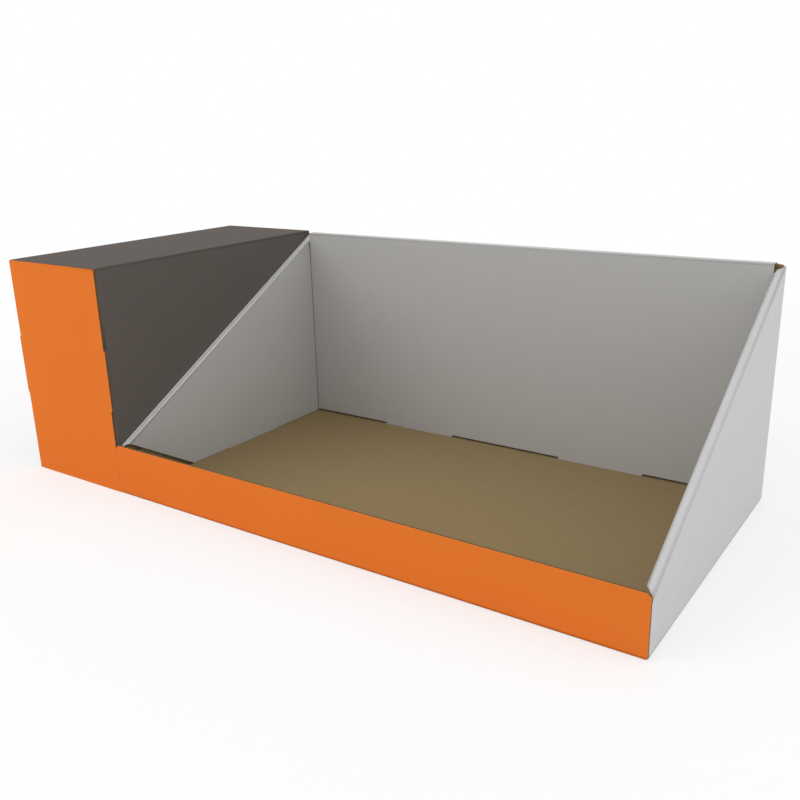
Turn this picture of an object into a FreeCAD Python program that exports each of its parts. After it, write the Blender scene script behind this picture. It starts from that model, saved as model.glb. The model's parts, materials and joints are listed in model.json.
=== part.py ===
import FreeCAD, Part
import os
import re

import Sketcher

# A counter display of corrugated board: an open tray with slanted double side walls, a high double
# back wall and a low front lip, and a closed tower at the tray's left end. +X runs along the front
# from the tower to the tray's right side, +Y runs from the front to the back and +Z points up. The
# origin is the middle of the footprint, on the surface that the display stands on. Every panel
# between two creases is a board of its own. All sizes are in millimetres.

SIZES = [
    ("board", 3.0, "thickness of the corrugated board"),
    ("running_gap", 0.3, "gap between boards that move past each other"),
    ("display_length", 1000.0, "left face of the tower to right face of the tray"),
    ("display_depth", 462.5, "front face to back face"),
    ("tower_width", 197.5, "outside width of the tower"),
    ("tower_height", 333.5, "outside height of the tower"),
    ("tower_flap_width", 42.0, "reach of the tower's corner flaps behind the front and the back"),
    ("end_flap_reach", 45.0, "reach of the flaps from the base's front edge and the top's back edge"),
    ("end_flap_taper", 8.0, "taper at each end of these two flaps"),
    ("glue_flap_width", 30.0, "width of the flap that joins the left wall to the base"),
    ("ear_out", 2.3, "how far the fold of each lock tab stands out past the tower's side"),
    ("ear_low", 126.0, "height of the lower edge of the ears and lock tabs"),
    ("ear_high", 216.5, "height of the upper edge of the ears and lock tabs"),
    ("tab_reach", 30.0, "reach of the tower's lock tabs behind the front panel"),
    ("tab_taper", 10.0, "taper at the upper and lower corner of the tower's lock tabs"),
    ("tab_slot_play", 0.6, "play of a lock tab in its slot, each side"),
    ("lip_height", 75.0, "height of the front lip"),
    ("lip_bevel_length", 5.0, "length of the bevel at each end of the lip's top edge"),
    ("lip_bevel_drop", 4.0, "drop of that bevel at the lip's ends"),
    ("back_below_tower", 2.0, "how far the tray's back wall stays below the tower's top"),
    ("side_front_height", 67.7, "height of the side walls just behind the lip"),
    ("side_wall_width", 11.8, "outside face to inside face of a double side wall"),
    ("back_wall_width", 15.0, "outside face to inside face of the double back wall"),
    ("corner_gap", 0.9, "gaps where a side wall's inner side meets the inner back wall"),
    ("strip_front_gap", 1.5, "gap between the lip and the tip of a side wall's top strip"),
    ("strip_mitre", 12.4, "how much shorter the inner edge of a side top strip is at the front"),
    ("strip_back_reach", 6.0, "how far a side top strip runs past the face of the inner back wall"),
    ("lip_flap_reach", 75.0, "reach of the lip's corner flaps inside the side walls"),
    ("lip_flap_height", 58.0, "height of the top edge of the lip's corner flaps"),
    ("lip_flap_taper", 12.0, "taper at the back of the lip's corner flaps"),
    ("back_flap_reach", 80.0, "reach of the back wall's corner flaps inside the side walls"),
    ("back_flap_drop", 14.0, "how far the back corner flaps stay below the side walls' slope"),
    ("back_tab_width", 136.5, "width of each lock tab of the back wall"),
    ("back_tab_spacing", 331.5, "distance between the middles of the back wall's lock tabs"),
    ("back_tab_lift", 3.0, "height of the back inner wall's edge above the floor beside its tabs"),
    ("side_tab_width", 120.0, "width of the lock tab of each side wall"),
    ("side_tab_middle", 190.0, "back face of the display to the middle of the side lock tabs"),
    ("side_tab_lift", 0.4, "height of a side inner wall's edge above the floor"),
    ("floor_slot_play", 0.5, "play of a lock tab in its floor slot, each side"),
]

PLACES = [
    ("tower_left", "(ear_out - display_length) / 2", "X of the tower's left face"),
    ("tower_right", "tower_left + tower_width", "X of the tower's right face"),
    ("tray_left", "tower_right + running_gap", "X of the tray's left face"),
    ("tray_right", "tower_left + display_length", "X of the tray's right face"),
    ("tray_length", "tray_right - tray_left", "outside length of the tray"),
    ("front_face", "-display_depth / 2", "Y of the front face"),
    ("back_face", "display_depth / 2", "Y of the back face"),
    ("fold_gap", "board + running_gap", "front face to the boards behind the front panel"),
    ("back_height", "tower_height - back_below_tower", "height of the tray's back wall"),
    ("slope_run", "display_depth - board", "depth over which the side walls rise"),
    ("slope_rise", "back_height - board - side_front_height", "rise of the side walls"),
    ("slope_angle", "atan(slope_rise / slope_run)", "slope of the side walls' top"),
    ("slope_grade", "slope_rise / slope_run", "rise per length of the side walls' top"),
    ("strip_under", "fold_gap / cos(slope_angle)", "slope to the boards under the top strips"),
    ("inner_depth", "display_depth - back_wall_width", "front face to the inner back wall"),
    ("side_wall_end", "inner_depth - corner_gap", "front face to the back end of a side inner wall"),
    ("strip_start", "board + strip_front_gap", "front face to the tip of a side top strip"),
    ("strip_inner_start", "strip_start + strip_mitre", "front face to a strip's inner corner"),
    ("strip_inner_end", "inner_depth + strip_back_reach", "front face to the end of a strip's inner edge"),
    ("length_per_depth", "1 / cos(slope_angle)", "length along the slope for each length along Y"),
    ("square_cut", "board * slope_grade", "what the square end of a strip takes off its length"),
    ("mitre_length", "length_per_depth * strip_mitre", "front mitre of a strip along its slope"),
    ("strip_length", "length_per_depth * (strip_inner_end - strip_start) - square_cut", "inner edge"),
    ("tip_length", "length_per_depth * (display_depth - fold_gap - strip_start) - square_cut", "outer edge"),
    ("inner_top_start", "strip_inner_start + fold_gap * sin(slope_angle)", "inner wall's top corner"),
    ("inner_top_front", "height_at_start - strip_under", "height of that corner"),
    ("height_at_start", "side_front_height + slope_grade * (inner_top_start - board)", "slope there"),
    ("height_at_end", "side_front_height + slope_grade * (side_wall_end - board)", "slope at the inner end"),
    ("inner_foot", "board + side_tab_lift", "height of a side inner wall's lower edge"),
    ("edge_grade", "tan(90 deg - 2 * slope_angle)", "fall per length of the inner wall's front edge"),
    ("inner_foot_start", "inner_top_start + (inner_top_front - inner_foot) / edge_grade", "foot corner"),
    ("bin_left", "tray_left + side_wall_width", "X of the left inner wall's face"),
    ("bin_right", "tray_right - side_wall_width", "X of the right inner wall's face"),
    ("bin_middle", "(tray_left + tray_right) / 2", "X of the tray's middle"),
    ("back_inner_left", "bin_left + corner_gap", "X of the back inner wall's left end"),
    ("back_inner_length", "bin_right - corner_gap - back_inner_left", "length of the back inner wall"),
    ("back_foot", "board + back_tab_lift", "height of the back inner wall's lower edge"),
    ("back_tab_left", "bin_middle - back_tab_spacing / 2 - back_tab_width / 2", "X of the left back tab"),
    ("back_tab_right", "back_tab_left + back_tab_spacing", "X of the right back tab"),
    ("side_tab_front", "display_depth - side_tab_middle - side_tab_width / 2", "front face to side tabs"),
    ("tower_inner_depth", "display_depth - fold_gap - board", "depth between the tower's front and back"),
    ("panel_top", "tower_height - board", "height of the tower's walls"),
    ("blade_side", "board + running_gap", "tower's side face to its lock tab"),
    ("tab_slot_width", "blade_side + tab_slot_play", "width of the slot in a front flap"),
]

FUNCTIONS = ("atan", "cos", "sin", "tan", "deg")

doc = FreeCAD.newDocument("CounterDisplay")


def sheet_names(formula, prefix):
    """Put a prefix before every size name of a formula."""
    name = re.compile(r"[a-z][a-z_]*")
    return name.sub(lambda word: word[0] if word[0] in FUNCTIONS else prefix + word[0], formula)


def make_sheet():
    """The spreadsheet of the driving sizes and of the places worked out from them."""
    cells = doc.addObject("Spreadsheet::Sheet", "sizes")
    for row, (alias, value, note) in enumerate(SIZES + PLACES, start=1):
        cells.set(f"A{row}", alias)
        cells.set(f"B{row}", f"={value}" if isinstance(value, str) else str(value))
        cells.set(f"C{row}", note)
        cells.setAlias(f"B{row}", alias)
    doc.recompute()
    return cells


sizes = make_sheet()


def bind(thing, prop, formula):
    """Bind a property to a formula of size names."""
    thing.setExpression(prop, sheet_names(formula, "sizes."))


def value_of(formula):
    """The present value of a formula of size names."""
    result = sizes.evalExpression(sheet_names(formula, "sizes."))
    return float(getattr(result, "Value", result))


def place(thing, x, y, z, tilt=None):
    """Put a board's corner at a point and tilt the board about X where it follows the slope."""
    turn = FreeCAD.Rotation(FreeCAD.Vector(1, 0, 0), 1 if tilt else 0)
    thing.Placement = FreeCAD.Placement(FreeCAD.Vector(), turn)
    for axis, formula in (("x", x), ("y", y), ("z", z)):
        bind(thing, f"Placement.Base.{axis}", formula)
    if tilt:
        bind(thing, "Placement.Rotation.Angle", tilt)


def plain_board(label, corner, length, depth, height):
    """A rectangular board, given by its lowest corner and its sides along X, Y and Z."""
    box = doc.addObject("Part::Box", label)
    bind(box, "Length", length)
    bind(box, "Width", depth)
    bind(box, "Height", height)
    place(box, *corner)
    return box


def add_loop(sketch, corners):
    """Draw a closed outline whose corners are tied to formulas measured from the sketch's origin."""
    points = [FreeCAD.Vector(value_of(along), value_of(across), 0) for along, across in corners]
    first = sketch.GeometryCount
    count = len(points)
    for index, point in enumerate(points):
        sketch.addGeometry(Part.LineSegment(point, points[(index + 1) % count]), False)
    for index in range(count):
        following = first + (index + 1) % count
        sketch.addConstraint(Sketcher.Constraint("Coincident", first + index, 2, following, 1))
    for index, (along, across) in enumerate(corners):
        tie_corner(sketch, first + index, -2, "DistanceX", along)
        tie_corner(sketch, first + index, -1, "DistanceY", across)


def tie_corner(sketch, edge, zero_axis, kind, formula):
    """Tie the start of an edge to a sketch axis, or to a distance from the sketch's origin."""
    if formula == "0":
        sketch.addConstraint(Sketcher.Constraint("PointOnObject", edge, 1, zero_axis))
        return
    distance = Sketcher.Constraint(kind, -1, 1, edge, 1, value_of(formula))
    number = sketch.addConstraint(distance)
    bind(sketch, f"Constraints[{number}]", formula)


def cut_board(label, plane, corner, loops, tilt=None):
    """A die-cut board: outline and cut-outs drawn on a plane, padded by the board's thickness.

    The plane is XY, XZ or YZ, and the board grows towards +Z, +Y or +X.
    """
    body = doc.addObject("PartDesign::Body", label)
    sketch = body.newObject("Sketcher::SketchObject", label + "_outline")
    origin_plane = next(f for f in body.Origin.OriginFeatures if f.Role == plane + "_Plane")
    sketch.AttachmentSupport = (origin_plane, [""])
    sketch.MapMode = "FlatFace"
    for corners in loops:
        add_loop(sketch, corners)
    pad = body.newObject("PartDesign::Pad", label + "_pad")
    pad.Profile = sketch
    pad.Reversed = plane == "XZ"
    bind(pad, "Length", "board")
    place(body, *corner, tilt)
    return body


def rectangle(x, y, length, width):
    """The corners of an upright rectangle."""
    return [
        (x, y),
        (f"{x} + {length}", y),
        (f"{x} + {length}", f"{y} + {width}"),
        (x, f"{y} + {width}"),
    ]


def tower_wrap():
    """Base, side walls, top, back and glue flap of the tower."""
    deep = "tower_inner_depth"
    front = "front_face + fold_gap"
    between = "tower_left + board"
    between_width = "tower_width - 2 * board"
    right_wall = "tower_right - board"
    back = "back_face - board"
    flap_front = "front_face + fold_gap + board"
    return [
        plain_board("tower_base", (between, front, "0"), between_width, deep, "board"),
        plain_board("tower_left_wall", ("tower_left", front, "0"), "board", deep, "panel_top"),
        plain_board("tower_right_wall", (right_wall, front, "0"), "board", deep, "panel_top"),
        plain_board("tower_top_panel", ("tower_left", front, "panel_top"), "tower_width", deep, "board"),
        plain_board("tower_back_panel", ("tower_left", back, "0"), "tower_width", "board", "tower_height"),
        plain_board(
            "tower_base_glue_flap",
            (between, flap_front, "board"),
            "glue_flap_width",
            "tower_inner_depth - 2 * board",
            "board",
        ),
    ]


def tower_front_flap(side):
    """A corner flap behind the front panel, with the open slot that takes the lock tab."""
    reach = "tower_flap_width"
    top = "panel_top - board"
    slot_low = "ear_low - board - tab_slot_play"
    slot_high = "ear_high - board + tab_slot_play"
    wall_side, free_side = ("0", reach) if side == "left" else (reach, "0")
    slot_side = "tab_slot_width" if side == "left" else f"{reach} - tab_slot_width"
    outline = [
        (wall_side, "0"),
        (free_side, "0"),
        (free_side, top),
        (wall_side, top),
        (wall_side, slot_high),
        (slot_side, slot_high),
        (slot_side, slot_low),
        (wall_side, slot_low),
    ]
    x = "tower_left + board" if side == "left" else f"tower_right - board - {reach}"
    return cut_board(f"tower_front_flap_{side}", "XZ", (x, "front_face + fold_gap", "board"), [outline])


def tower_back_flap(side):
    """A corner flap glued to the inside of the back panel."""
    x = "tower_left + board" if side == "left" else "tower_right - board - tower_flap_width"
    corner = (x, "back_face - 2 * board", "board")
    return plain_board(f"tower_back_flap_{side}", corner, "tower_flap_width", "board", "panel_top - board")


def tower_end_flap(label, y, z, creased_edge):
    """A tapered flap between two corner flaps, folded from an edge of the base or of the top."""
    width = "tower_width - 2 * (board + tower_flap_width + running_gap)"
    wide, narrow = ("0", "end_flap_reach") if creased_edge == "lower" else ("end_flap_reach", "0")
    outline = [
        ("0", wide),
        (width, wide),
        (f"{width} - end_flap_taper", narrow),
        ("end_flap_taper", narrow),
    ]
    x = "tower_left + board + tower_flap_width + running_gap"
    return cut_board(label, "XZ", (x, y, z), [outline])


def tower_base_flap_front():
    """The flap that stands up from the base's front edge, behind the front panel."""
    return tower_end_flap("tower_base_flap_front", "front_face + fold_gap", "board", "lower")


def tower_top_flap_back():
    """The flap that hangs from the top's back edge, inside the back panel."""
    return tower_end_flap(
        "tower_top_flap_back", "back_face - 2 * board", "panel_top - end_flap_reach", "upper"
    )


def tower_front_panel():
    """The tower's front, which folds up about its upper edge; its ears cover the tabs' folds."""
    left, right = "ear_out", "ear_out + tower_width"
    outline = [
        (left, "0"),
        (right, "0"),
        (right, "ear_low"),
        (f"{right} + ear_out", "ear_low"),
        (f"{right} + ear_out", "ear_high"),
        (right, "ear_high"),
        (right, "tower_height"),
        (left, "tower_height"),
        (left, "ear_high"),
        ("0", "ear_high"),
        ("0", "ear_low"),
        (left, "ear_low"),
    ]
    return cut_board("tower_front_panel", "XZ", ("tower_left - ear_out", "front_face", "0"), [outline])


def tower_front_tab(side):
    """A lock tab that runs back from the front panel, just inside the tower's side wall."""
    height = "ear_high - ear_low"
    outline = [
        ("0", "0"),
        ("tab_reach", "tab_taper"),
        ("tab_reach", f"{height} - tab_taper"),
        ("0", height),
    ]
    x = "tower_left + blade_side" if side == "left" else "tower_right - blade_side - board"
    return cut_board(f"tower_front_tab_{side}", "YZ", (x, "front_face + board", "ear_low"), [outline])


def tray_floor():
    """The tray's floor, with a slot for each lock tab of the inner walls."""
    slot_width = "board + 2 * floor_slot_play"
    back_slot_length = "back_tab_width + 2 * floor_slot_play"
    side_slot_length = "side_tab_width + 2 * floor_slot_play"
    back_slot_y = "inner_depth - board - floor_slot_play"
    side_slot_y = "side_tab_front - board - floor_slot_play"
    left_slot_x = "side_wall_width - 2 * board - floor_slot_play"
    right_slot_x = "tray_length - side_wall_width - board - floor_slot_play"
    first_back_slot_x = "back_tab_left - tray_left - board - floor_slot_play"
    second_back_slot_x = "back_tab_right - tray_left - board - floor_slot_play"
    loops = [
        rectangle("0", "0", "tray_length - 2 * board", "display_depth - 2 * board"),
        rectangle(first_back_slot_x, back_slot_y, back_slot_length, slot_width),
        rectangle(second_back_slot_x, back_slot_y, back_slot_length, slot_width),
        rectangle(left_slot_x, side_slot_y, slot_width, side_slot_length),
        rectangle(right_slot_x, side_slot_y, slot_width, side_slot_length),
    ]
    return cut_board("tray_floor", "XY", ("tray_left + board", "front_face + board", "0"), loops)


def front_lip():
    """The low front wall of the tray, bevelled at both ends of its top edge."""
    outline = [
        ("0", "0"),
        ("tray_length", "0"),
        ("tray_length", "lip_height - lip_bevel_drop"),
        ("tray_length - lip_bevel_length", "lip_height"),
        ("lip_bevel_length", "lip_height"),
        ("0", "lip_height - lip_bevel_drop"),
    ]
    return cut_board("front_lip", "XZ", ("tray_left", "front_face", "0"), [outline])


def lip_corner_flap(side):
    """The flap that turns back from an end of the lip, against the inside of the outer wall."""
    height = "lip_flap_height - board"
    outline = [
        ("0", "0"),
        ("lip_flap_reach", "0"),
        ("lip_flap_reach", f"{height} - lip_flap_taper"),
        ("lip_flap_reach - lip_flap_taper", height),
        ("0", height),
    ]
    x = "tray_left + board" if side == "left" else "tray_right - 2 * board"
    return cut_board(f"lip_corner_flap_{side}", "YZ", (x, "front_face + board", "board"), [outline])


def outer_wall(side):
    """A slanted outer side wall; behind its top strip it rises by the strip's thickness."""
    step = "slope_run - board"
    outline = [
        ("0", "0"),
        ("slope_run", "0"),
        ("slope_run", "side_front_height + slope_rise"),
        (step, f"side_front_height + slope_grade * ({step})"),
        (step, f"side_front_height + slope_grade * ({step}) - strip_under"),
        ("0", "side_front_height - strip_under"),
    ]
    x = "tray_left" if side == "left" else "tray_right - board"
    return cut_board(f"{side}_outer_wall", "YZ", (x, "front_face + board", "0"), [outline])


def side_top_strip(side):
    """The slanted strip between the two creases of a side wall, mitred at both ends."""
    outer, inner = ("0", "side_wall_width") if side == "left" else ("side_wall_width", "0")
    tip = "board" if side == "left" else "side_wall_width - board"
    outline = [
        (outer, "0"),
        (outer, "tip_length"),
        (tip, "tip_length"),
        (inner, "strip_length"),
        (inner, "mitre_length"),
    ]
    x = "tray_left" if side == "left" else "bin_right"
    y = "front_face + strip_start + board * sin(slope_angle)"
    z = "side_front_height + slope_grade * strip_front_gap - board * cos(slope_angle)"
    return cut_board(f"{side}_top_strip", "XY", (x, y, z), [outline], tilt="slope_angle")


def side_inner_wall(side):
    """A slanted inner side wall that stands on the floor; its front edge runs down to the back."""
    length = "side_wall_end - inner_top_start"
    outline = [
        ("0", "inner_top_front - inner_foot"),
        ("inner_foot_start - inner_top_start", "0"),
        (length, "0"),
        (length, "height_at_end - strip_under - inner_foot"),
    ]
    x = "bin_left - board" if side == "left" else "bin_right"
    corner = (x, "front_face + inner_top_start", "inner_foot")
    return cut_board(f"{side}_inner_wall", "YZ", corner, [outline])


def side_lock_tab(side):
    """The tab under a side inner wall, down in its floor slot."""
    x = "bin_left - board" if side == "left" else "bin_right"
    corner = (x, "front_face + side_tab_front", "running_gap")
    return plain_board(f"{side}_lock_tab", corner, "board", "side_tab_width", "inner_foot - running_gap")


def back_outer_wall():
    """The outer back wall between the outer side walls."""
    corner = ("tray_left + board", "back_face - board", "0")
    length = "tray_length - 2 * board"
    return plain_board("back_outer_wall", corner, length, "board", "back_height - fold_gap")


def back_corner_flap(side):
    """The flap that turns forward from an end of the outer back wall, inside the side wall."""
    start = "slope_run - board - back_flap_reach"
    low_top = f"side_front_height + slope_grade * ({start}) - back_flap_drop - board"
    high_top = f"{low_top} + slope_grade * back_flap_reach"
    outline = [
        ("0", "0"),
        ("back_flap_reach", "0"),
        ("back_flap_reach", high_top),
        ("0", low_top),
    ]
    x = "tray_left + board" if side == "left" else "tray_right - 2 * board"
    corner = (x, "back_face - board - back_flap_reach", "board")
    return cut_board(f"back_corner_flap_{side}", "YZ", corner, [outline])


def back_top_strip():
    """The level strip between the two creases of the back wall."""
    corner = ("bin_left + running_gap", "back_face - back_wall_width", "back_height - board")
    length = "bin_right - bin_left - 2 * running_gap"
    return plain_board("back_top_strip", corner, length, "back_wall_width", "board")


def back_inner_wall():
    """The inner back wall, whose lower edge stands clear of the floor between its tabs."""
    corner = ("back_inner_left", "back_face - back_wall_width", "back_foot")
    height = "back_height - fold_gap - back_foot"
    return plain_board("back_inner_wall", corner, "back_inner_length", "board", height)


def back_lock_tab(side):
    """A tab under the inner back wall, down in its floor slot."""
    corner = (f"back_tab_{side}", "back_face - back_wall_width", "running_gap")
    height = "back_foot - running_gap"
    return plain_board(f"back_lock_tab_{side}", corner, "back_tab_width", "board", height)


def both(make):
    """The left and the right copy of a board."""
    return [make("left"), make("right")]


boards = [
    *tower_wrap(),
    *both(tower_front_flap),
    *both(tower_back_flap),
    tower_base_flap_front(),
    tower_top_flap_back(),
    tower_front_panel(),
    *both(tower_front_tab),
    tray_floor(),
    front_lip(),
    *both(lip_corner_flap),
    *both(outer_wall),
    *both(side_top_strip),
    *both(side_inner_wall),
    *both(side_lock_tab),
    back_outer_wall(),
    *both(back_corner_flap),
    back_top_strip(),
    back_inner_wall(),
    *both(back_lock_tab),
]

doc.recompute()

for thing in doc.Objects:
    if "Invalid" in thing.State or "Error" in thing.State:
        raise RuntimeError(f"{thing.Label} failed to compute: {thing.State}")

for piece in boards:
    if piece.Shape.isNull() or not piece.Shape.isValid():
        raise RuntimeError(f"{piece.Label} has no valid shape")
    if len(piece.Shape.Solids) != 1:
        raise RuntimeError(f"{piece.Label} is not one solid")

os.makedirs("parts", exist_ok=True)
for piece in boards:
    piece.Shape.exportStep(os.path.join("parts", piece.Label + ".step"))
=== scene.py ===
import json
import math

import bpy
from mathutils import Matrix, Vector
from mathutils.geometry import tessellate_polygon


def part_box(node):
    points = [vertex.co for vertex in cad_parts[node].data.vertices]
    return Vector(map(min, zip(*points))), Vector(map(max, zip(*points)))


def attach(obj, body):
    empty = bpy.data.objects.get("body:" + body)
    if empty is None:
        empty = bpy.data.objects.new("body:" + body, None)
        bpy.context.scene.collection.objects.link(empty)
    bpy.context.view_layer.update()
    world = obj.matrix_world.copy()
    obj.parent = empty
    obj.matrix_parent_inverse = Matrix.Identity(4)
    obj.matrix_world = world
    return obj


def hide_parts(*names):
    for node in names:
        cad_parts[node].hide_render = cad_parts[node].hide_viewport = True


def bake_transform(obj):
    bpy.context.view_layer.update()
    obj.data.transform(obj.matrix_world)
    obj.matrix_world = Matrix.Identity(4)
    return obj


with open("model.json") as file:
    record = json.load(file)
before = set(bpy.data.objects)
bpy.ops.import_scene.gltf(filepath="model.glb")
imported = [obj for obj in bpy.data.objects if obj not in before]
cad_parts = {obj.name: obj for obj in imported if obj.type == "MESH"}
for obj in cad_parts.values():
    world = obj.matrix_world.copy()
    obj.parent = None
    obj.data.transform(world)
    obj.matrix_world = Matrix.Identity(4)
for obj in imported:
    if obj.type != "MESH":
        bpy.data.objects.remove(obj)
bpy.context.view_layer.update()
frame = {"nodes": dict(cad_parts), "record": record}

# A folded display of corrugated board. Every board of the frame is rebuilt as real corrugated
# board: an outer liner, an inner liner and the fluted paper between them. Its folds are rounded
# creases, its die-cut edges are crushed and show the flutes. All lengths are in metres.

MM = 0.001

X, Y, Z = Vector((1, 0, 0)), Vector((0, 1, 0)), Vector((0, 0, 1))

# What counts as no length, as lying on a line and as going straight on, and the digits that
# places are rounded to before they are compared
TINY = 1e-6
NEAR = 1e-5
STRAIGHT = 1e-3
DIGITS = 6

# Cosine between a face's normal and a direction: of a face that is turned to it, of one that
# is square to it, and the range of one that is aslant
FACING = 0.7
SQUARE = 0.999
LEAST_ASLANT, MOST_ASLANT = 0.5, 0.99

# Corrugated board: its thickness, the gap at a crease that moves, its liners and fluted medium
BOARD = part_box("tray_floor")[1].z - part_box("tray_floor")[0].z
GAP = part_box("back_top_strip")[0].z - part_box("back_outer_wall")[1].z
LINER = 0.3 * MM
MEDIUM = 0.25 * MM
MEDIUM_INSET = 0.25 * MM
FLUTE_PITCH = 6.35 * MM
FLUTE_STEP = FLUTE_PITCH / 8
FLUTE_STEP_LEAST = FLUTE_STEP / 10
CRUSHED_BAND = 0.9 * MM
CRUSHED_DIP = 0.16 * MM

# Creases: a fold's power makes it tight or round
CREASE_STEPS = 12
TIGHT_FOLD = 4.0
ROUND_FOLD = 2.0
SCORE_DEPTH = 0.45 * MM
SCORE_HALF_ANGLE = math.radians(22)
CREASE_WEAR = 0.45
BACK_CORNER_HASTE = 3.5

# Corners where the side walls meet the back wall
CORNER_SEAM = 0.2 * MM
CORNER_RELIEF = 12 * MM

# Camera
CAMERA_AT = Vector((0.738625, -0.99315, 0.524303))
CAMERA_AZIMUTH = math.radians(34.837)
CAMERA_ELEVATION = math.radians(17.773)
CAMERA_ROLL = math.radians(-1.456)
CAMERA_LENS = 39.88
CAMERA_SENSOR = 36.0
CAMERA_CLIP = 10 * MM

record = frame["record"]
BODY_OF = {node: body for body, nodes in record["behaviour"]["bodies"].items() for node in nodes}


# ---------------------------------------------------------------- boards as outlines


def slope_directions():
    """Up the slope of the side walls, and square to it."""
    mesh = frame["nodes"]["right_top_strip"].data
    slanted = [face for face in mesh.polygons if LEAST_ASLANT < face.normal.z < MOST_ASLANT]
    square = max(slanted, key=lambda face: face.area).normal.copy()
    return X.cross(square) * -1, square


def face_loops(node, outward):
    """The unit normal and the corner loops of a board's face on its outward side."""
    mesh = frame["nodes"][node].data
    facing = [face for face in mesh.polygons if face.normal.dot(outward) > FACING]
    normal = max(facing, key=lambda face: face.area).normal.copy()
    sides = set()
    for face in facing:
        if face.normal.dot(normal) > SQUARE:
            places = [mesh.vertices[index].co for index in face.vertices]
            ring = [tuple(round(part, DIGITS) for part in place) for place in places]
            sides.update(zip(ring, ring[1:] + ring[:1]))
    following = {a: b for a, b in sides if (b, a) not in sides}
    loops = []
    while following:
        start, here = following.popitem()
        loop = [Vector(start)]
        while here != start:
            loop.append(Vector(here))
            here = following.pop(here)
        loops.append(loop)
    return normal, loops


def without_straight_corners(loop):
    """Leave out the corners that lie on a straight side."""
    kept = []
    for index, here in enumerate(loop):
        before = here - loop[index - 1]
        after = loop[(index + 1) % len(loop)] - here
        if abs(before.normalized().cross(after.normalized())) > STRAIGHT:
            kept.append(here)
    return kept


class Board:
    """A flat board: its outline on the outward side, with each edge a cut or a fold.

    A corner of a loop is (point, kind), where kind is that of the edge that starts there.
    """

    def __init__(self, node, outward, flutes, outer, inner):
        self.node = node
        self.faces = (outer, inner)
        self.normal, loops = face_loops(node, outward)
        self.along = (flutes - self.normal * flutes.dot(self.normal)).normalized()
        self.across = self.along.cross(self.normal)
        self.level = loops[0][0].dot(self.normal)
        flat = [without_straight_corners([self.flat(corner) for corner in loop]) for loop in loops]
        self.loops = [[(corner, "cut") for corner in loop] for loop in flat]

    def flat(self, vector):
        """A vector in the board's plane: across the flutes, then along them."""
        return Vector((vector.dot(self.across), vector.dot(self.along)))

    def solid(self, point, depth=0.0):
        """The place in space of a flat point, at a depth under the outward face."""
        return self.across * point.x + self.along * point.y + self.normal * (self.level - depth)

    def clip(self, direction, limit):
        """Cut the board back to a line, which becomes a fold."""
        line = self.flat(direction)
        self.loops = [clipped(loop, line, limit) for loop in self.loops]

    def step(self, direction, limit, run, spans, reach):
        """Move stretches of the edge on a line outwards by a reach; they are cut edges."""
        line = self.flat(direction)
        axis = self.flat(run)
        self.loops = [stepped(loop, line, limit, axis, spans, reach) for loop in self.loops]

    def edge_spans(self, direction, limit, run):
        """Where edges lie on a line: their lowest and highest place along the run."""
        line = self.flat(direction)
        axis = self.flat(run)
        spans = []
        for loop in self.loops:
            for (here, _), (there, _) in sides_of(loop):
                if on_line(here, there, line, limit):
                    spans.append(sorted((here.dot(axis), there.dot(axis))))
        return joined(sorted(spans))


def on_line(here, there, line, limit):
    """Whether an edge between two corners lies on a line."""
    return max(abs(here.dot(line) - limit), abs(there.dot(line) - limit)) < NEAR


def joined(spans):
    """Spans in order, those that touch made into one."""
    kept = spans[:1]
    for low, high in spans[1:]:
        if low - kept[-1][1] < NEAR:
            kept[-1] = [kept[-1][0], high]
        else:
            kept.append([low, high])
    return kept


def sides_of(loop):
    """Each corner of a loop with the corner after it."""
    return zip(loop, loop[1:] + loop[:1])


def clipped(loop, line, limit):
    """A loop without what lies beyond a line; the edges on the line are folds."""
    made = []
    for (here, kind), (there, _) in sides_of(loop):
        inside, ahead = limit - here.dot(line), limit - there.dot(line)
        if inside >= -TINY:
            leaves = inside < TINY and ahead <= TINY
            made.append((here, "fold" if leaves else kind))
        if inside * ahead < 0 and min(abs(inside), abs(ahead)) > TINY:
            crossing = here.lerp(there, inside / (inside - ahead))
            made.append((crossing, "fold" if inside > 0 else kind))
    return made


def stepped(loop, line, limit, axis, spans, reach):
    """A loop whose first edge on a line is moved outwards by a reach over some spans."""
    edges = enumerate(sides_of(loop))
    on_it = [index for index, (here, there) in edges if on_line(here[0], there[0], line, limit)]
    if not on_it:
        return loop
    index = on_it[0]
    after = (index + 1) % len(loop)
    (here, kind), (there, kind_after) = loop[index], loop[after]
    length = (there - here).length
    travel = (there - here) / length
    forward = travel.dot(axis)
    marks = sorted((place - here.dot(axis)) / forward for span in spans for place in span)
    stops = [0.0] + [mark for mark in marks if TINY < mark < length - TINY] + [length]
    points = []
    for start, end in zip(stops, stops[1:]):
        middle = here.dot(axis) + forward * (start + end) / 2
        moved = any(low < middle < high for low, high in spans)
        lift = line * (reach if moved else 0.0)
        points.append((here + travel * start + lift, "cut" if moved else kind))
        points.append((here + travel * end + lift, "cut"))
    made = list(loop)
    made[after] = (points.pop()[0], kind_after)
    return made[:index] + points + made[index + 1:]


def inset(loop, amounts):
    """The corners of a loop moved inwards by an amount for each edge, by its kind."""
    moved = []
    for index, (here, kind) in enumerate(loop):
        before, kind_before = loop[index - 1]
        after = loop[(index + 1) % len(loop)][0]
        first, second = (here - before).normalized(), (after - here).normalized()
        first_in, second_in = Vector((-first.y, first.x)), Vector((-second.y, second.x))
        shape = Matrix((first_in, second_in))
        distances = Vector((amounts[kind_before], amounts[kind]))
        moved.append(here + shape.inverted() @ distances)
    return moved


# ---------------------------------------------------------------- meshes

# Kinds of faces: a board's two papers, raw paper, and the outer paper of a crease's second board
OUTER, INNER, RAW, SECOND = range(4)


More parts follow.
